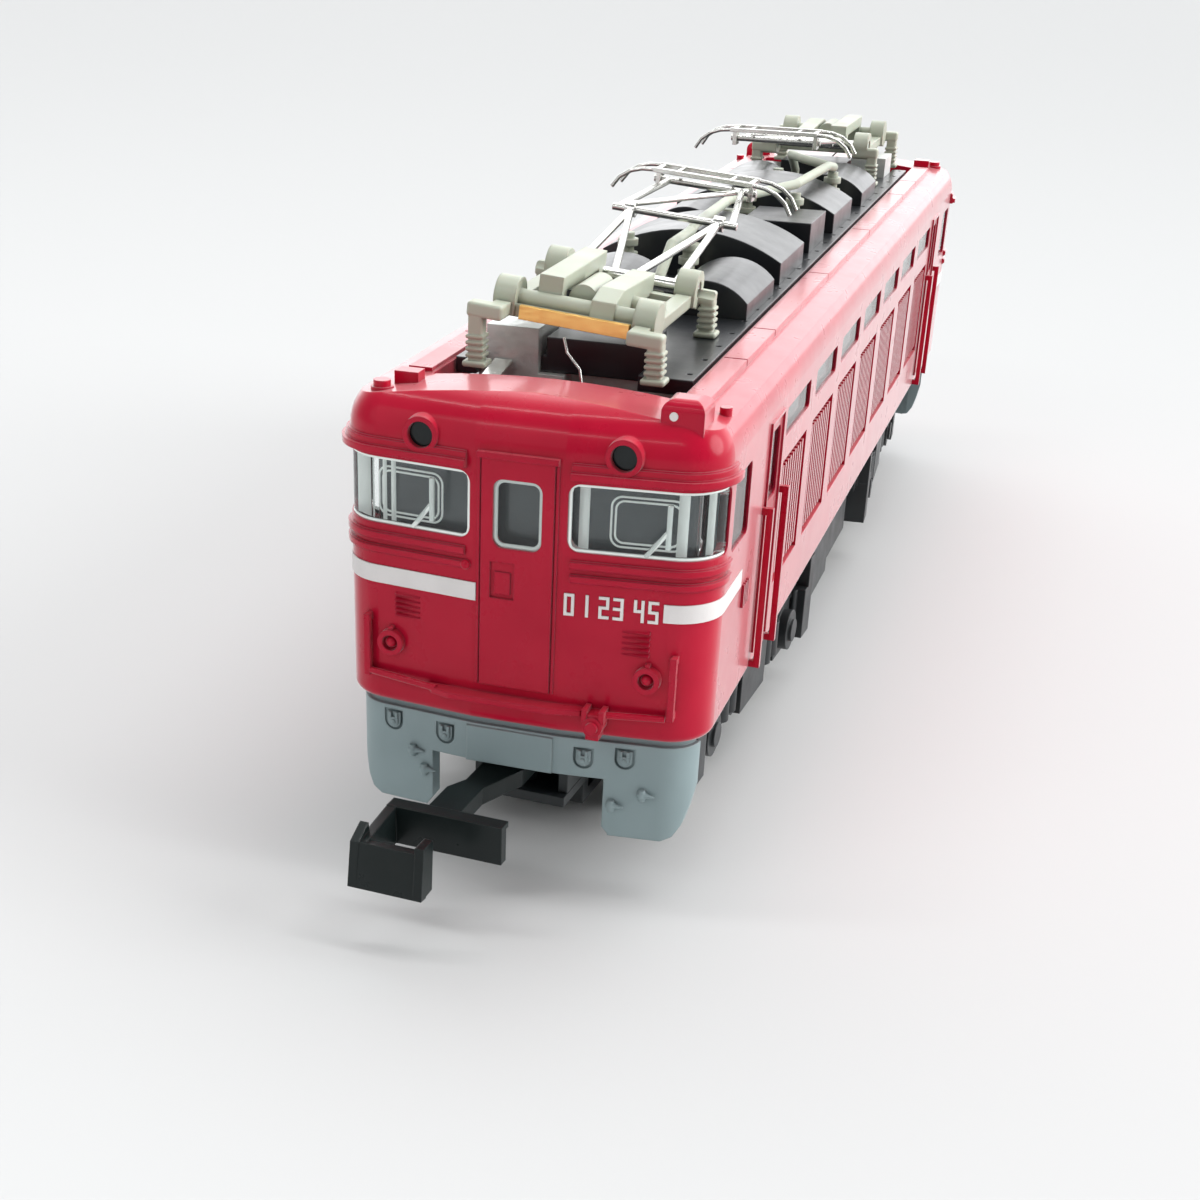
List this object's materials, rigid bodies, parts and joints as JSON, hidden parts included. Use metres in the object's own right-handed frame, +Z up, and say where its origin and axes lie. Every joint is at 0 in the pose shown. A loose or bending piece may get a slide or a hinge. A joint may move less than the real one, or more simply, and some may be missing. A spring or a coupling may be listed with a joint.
{
  "type": "model electric locomotive",
  "caption": "Small-scale model electric locomotive with swivelling geared bogies, hook couplers, folding roof pantographs, clear cab glazing and a die-cast frame with motor.",
  "frame": {"origin": "centre of the bounding box at the bottom of the wheel flanges", "axes": "+Z up, +Y along the locomotive away from the pictured cab, +X to the right when looking at that cab"},
  "size_m": [0.0198, 0.1054, 0.0306],
  "materials": {
    "red_shell": "glossy crimson moulding",
    "clear_glazing": "clear moulded styrene",
    "lamp_lens": "dark grey-green lens",
    "silver_print": "silver-white print",
    "grey_skirt": "satin mid grey",
    "black_roof": "satin near-black",
    "pale_grey": "warm light grey moulding",
    "cast_metal": "die-cast zinc, dull grey",
    "steel": "plated steel",
    "brass": "brass",
    "motor_steel": "plated steel",
    "board": "green laminate",
    "bright_wire": "bright nickel silver",
    "clear_guide": "clear acrylic",
    "black_plastic": "satin black moulding",
    "gear_plastic": "natural acetal",
    "nickel": "nickel plated",
    "coupler_plastic": "dark olive translucent"
  },
  "bodies": {
    "body": {"body_shell": "red_shell", "front_glazing": "clear_glazing", "rear_glazing": "clear_glazing", "side_glazing": "clear_glazing", "headlight_lenses": "lamp_lens", "cab_markings": "silver_print", "front_skirt": "grey_skirt", "rear_skirt": "grey_skirt", "roof_insert": "black_roof", "roof_equipment": "black_roof", "roof_insulators": "pale_grey", "conductor_pipes": "pale_grey", "roof_weight": "cast_metal", "frame_left": "cast_metal", "frame_right": "cast_metal", "frame_screws": "steel", "shaft_bushes": "brass", "motor_can": "motor_steel", "circuit_board": "board", "contact_strips": "bright_wire", "light_guides": "clear_guide", "underframe": "black_plastic", "front_panto_base": "pale_grey", "front_panto_strip": "brass", "rear_panto_base": "pale_grey", "rear_panto_strip": "brass"},
    "drive_line": {"armature": "motor_steel", "flywheels": "brass", "worms": "brass"},
    "front_bogie": {"front_bogie_frame": "black_plastic", "front_bogie_cover": "black_plastic", "front_wheel_wipers": "brass"},
    "front_worm_gear": {"front_worm_gear": "gear_plastic"},
    "front_outer_idler": {"front_outer_idler": "gear_plastic"},
    "front_inner_idler": {"front_inner_idler": "gear_plastic"},
    "front_outer_wheelset": {"front_outer_wheels": "nickel", "front_outer_axle": "gear_plastic"},
    "front_inner_wheelset": {"front_inner_wheels": "nickel", "front_inner_axle": "gear_plastic"},
    "front_coupler_swivel": {"front_coupler_swivel": "coupler_plastic"},
    "front_coupler": {"front_coupler": "coupler_plastic"},
    "rear_bogie": {"rear_bogie_frame": "black_plastic", "rear_bogie_cover": "black_plastic", "rear_wheel_wipers": "brass"},
    "rear_worm_gear": {"rear_worm_gear": "gear_plastic"},
    "rear_outer_idler": {"rear_outer_idler": "gear_plastic"},
    "rear_inner_idler": {"rear_inner_idler": "gear_plastic"},
    "rear_outer_wheelset": {"rear_outer_wheels": "nickel", "rear_outer_axle": "gear_plastic"},
    "rear_inner_wheelset": {"rear_inner_wheels": "nickel", "rear_inner_axle": "gear_plastic"},
    "rear_coupler_swivel": {"rear_coupler_swivel": "coupler_plastic"},
    "rear_coupler": {"rear_coupler": "coupler_plastic"},
    "front_panto_lower": {"front_panto_lower_arms": "bright_wire"},
    "front_panto_upper": {"front_panto_upper_arms": "bright_wire"},
    "front_panto_head": {"front_panto_head": "bright_wire"},
    "rear_panto_lower": {"rear_panto_lower_arms": "bright_wire"},
    "rear_panto_upper": {"rear_panto_upper_arms": "bright_wire"},
    "rear_panto_head": {"rear_panto_head": "bright_wire"}
  },
  "joints": [
    {"name": "drive_line_spin", "type": "hinge", "parent": "body", "child": "drive_line", "pos_m": [0, 0, 0.0131], "axis": [0, 1, 0], "continuous": true},
    {"name": "front_bogie_swivel", "type": "hinge", "parent": "body", "child": "front_bogie", "pos_m": [0, -0.0233, 0.0099], "axis": [0, 0, 1], "range_deg": [-3.7, 10.3]},
    {"name": "front_worm_gear_spin", "type": "hinge", "parent": "front_bogie", "child": "front_worm_gear", "pos_m": [0, -0.0233, 0.00891], "axis": [0.9983, -0.0576, 0], "continuous": true},
    {"name": "front_outer_idler_spin", "type": "hinge", "parent": "front_bogie", "child": "front_outer_idler", "pos_m": [-0.00024, -0.02744, 0.00622], "axis": [0.9983, -0.0576, 0], "continuous": true},
    {"name": "front_inner_idler_spin", "type": "hinge", "parent": "front_bogie", "child": "front_inner_idler", "pos_m": [0.00024, -0.01916, 0.00622], "axis": [0.9983, -0.0576, 0], "continuous": true},
    {"name": "front_outer_wheelset_spin", "type": "hinge", "parent": "front_bogie", "child": "front_outer_wheelset", "pos_m": [-0.00048, -0.03164, 0.0046], "axis": [0.9983, -0.0576, 0], "continuous": true},
    {"name": "front_inner_wheelset_spin", "type": "hinge", "parent": "front_bogie", "child": "front_inner_wheelset", "pos_m": [0.00048, -0.01496, 0.0046], "axis": [0.9983, -0.0576, 0], "continuous": true},
    {"name": "front_coupler_swing", "type": "hinge", "parent": "front_bogie", "child": "front_coupler_swivel", "pos_m": [-0.00089, -0.03867, 0.0055], "axis": [0, 0, 1], "range_deg": [-7, 7], "stiffness_Nm_per_rad": 0.00002},
    {"name": "front_coupler_lift", "type": "hinge", "parent": "front_coupler_swivel", "child": "front_coupler", "pos_m": [-0.00101, -0.04077, 0.0055], "axis": [-0.9983, 0.0576, 0], "range_deg": [0, 8], "stiffness_Nm_per_rad": 0.0002, "springref_deg": -8.59},
    {"name": "rear_bogie_swivel", "type": "hinge", "parent": "body", "child": "rear_bogie", "pos_m": [0, 0.0233, 0.0099], "axis": [0, 0, 1], "range_deg": [-10.3, 3.7]},
    {"name": "rear_worm_gear_spin", "type": "hinge", "parent": "rear_bogie", "child": "rear_worm_gear", "pos_m": [0, 0.0233, 0.00891], "axis": [0.9983, 0.0576, 0], "continuous": true},
    {"name": "rear_outer_idler_spin", "type": "hinge", "parent": "rear_bogie", "child": "rear_outer_idler", "pos_m": [-0.00024, 0.02744, 0.00622], "axis": [0.9983, 0.0576, 0], "continuous": true},
    {"name": "rear_inner_idler_spin", "type": "hinge", "parent": "rear_bogie", "child": "rear_inner_idler", "pos_m": [0.00024, 0.01916, 0.00622], "axis": [0.9983, 0.0576, 0], "continuous": true},
    {"name": "rear_outer_wheelset_spin", "type": "hinge", "parent": "rear_bogie", "child": "rear_outer_wheelset", "pos_m": [-0.00048, 0.03164, 0.0046], "axis": [0.9983, 0.0576, 0], "continuous": true},
    {"name": "rear_inner_wheelset_spin", "type": "hinge", "parent": "rear_bogie", "child": "rear_inner_wheelset", "pos_m": [0.00048, 0.01496, 0.0046], "axis": [0.9983, 0.0576, 0], "continuous": true},
    {"name": "rear_coupler_swing", "type": "hinge", "parent": "rear_bogie", "child": "rear_coupler_swivel", "pos_m": [-0.00089, 0.03867, 0.0055], "axis": [0, 0, 1], "range_deg": [-7, 7], "stiffness_Nm_per_rad": 0.00002},
    {"name": "rear_coupler_lift", "type": "hinge", "parent": "rear_coupler_swivel", "child": "rear_coupler", "pos_m": [-0.00101, 0.04077, 0.0055], "axis": [0.9983, 0.0576, 0], "range_deg": [0, 8], "stiffness_Nm_per_rad": 0.0002, "springref_deg": -8.59},
    {"name": "front_panto_raise", "type": "hinge", "parent": "body", "child": "front_panto_lower", "pos_m": [0, -0.0276, 0.02745], "axis": [0.9965, 0, -0.0837], "range_deg": [0, 58]},
    {"name": "front_panto_knee", "type": "hinge", "parent": "front_panto_lower", "child": "front_panto_upper", "pos_m": [0.00013, -0.0178, 0.02894], "axis": [0.9965, 0, -0.0837], "range_deg": [0, 46.4]},
    {"name": "front_panto_head_tilt", "type": "hinge", "parent": "front_panto_upper", "child": "front_panto_head", "pos_m": [0.00018, -0.0108, 0.02959], "axis": [-0.9965, 0, 0.0837], "range_deg": [0, 104.4]},
    {"name": "rear_panto_raise", "type": "hinge", "parent": "body", "child": "rear_panto_lower", "pos_m": [0, 0.0276, 0.02745], "axis": [-1, 0, 0], "range_deg": [0, 58]},
    {"name": "rear_panto_knee", "type": "hinge", "parent": "rear_panto_lower", "child": "rear_panto_upper", "pos_m": [0, 0.0178, 0.02895], "axis": [-1, 0, 0], "range_deg": [0, 46.4]},
    {"name": "rear_panto_head_tilt", "type": "hinge", "parent": "rear_panto_upper", "child": "rear_panto_head", "pos_m": [0, 0.0108, 0.0296], "axis": [1, 0, 0], "range_deg": [0, 104.4]}
  ],
  "couplings": [
    {"joint": "front_worm_gear_spin", "follows": "drive_line_spin", "ratio": 0.058824},
    {"joint": "front_outer_idler_spin", "follows": "drive_line_spin", "ratio": -0.0625},
    {"joint": "front_inner_idler_spin", "follows": "drive_line_spin", "ratio": -0.0625},
    {"joint": "front_outer_wheelset_spin", "follows": "drive_line_spin", "ratio": 0.071429},
    {"joint": "front_inner_wheelset_spin", "follows": "drive_line_spin", "ratio": 0.071429},
    {"joint": "rear_worm_gear_spin", "follows": "drive_line_spin", "ratio": 0.058824},
    {"joint": "rear_outer_idler_spin", "follows": "drive_line_spin", "ratio": -0.0625},
    {"joint": "rear_inner_idler_spin", "follows": "drive_line_spin", "ratio": -0.0625},
    {"joint": "rear_outer_wheelset_spin", "follows": "drive_line_spin", "ratio": 0.071429},
    {"joint": "rear_inner_wheelset_spin", "follows": "drive_line_spin", "ratio": 0.071429},
    {"joint": "front_panto_knee", "follows": "front_panto_raise", "ratio": 0.8},
    {"joint": "front_panto_head_tilt", "follows": "front_panto_raise", "ratio": 1.8},
    {"joint": "rear_panto_knee", "follows": "rear_panto_raise", "ratio": 0.8},
    {"joint": "rear_panto_head_tilt", "follows": "rear_panto_raise", "ratio": 1.8}
  ]
}
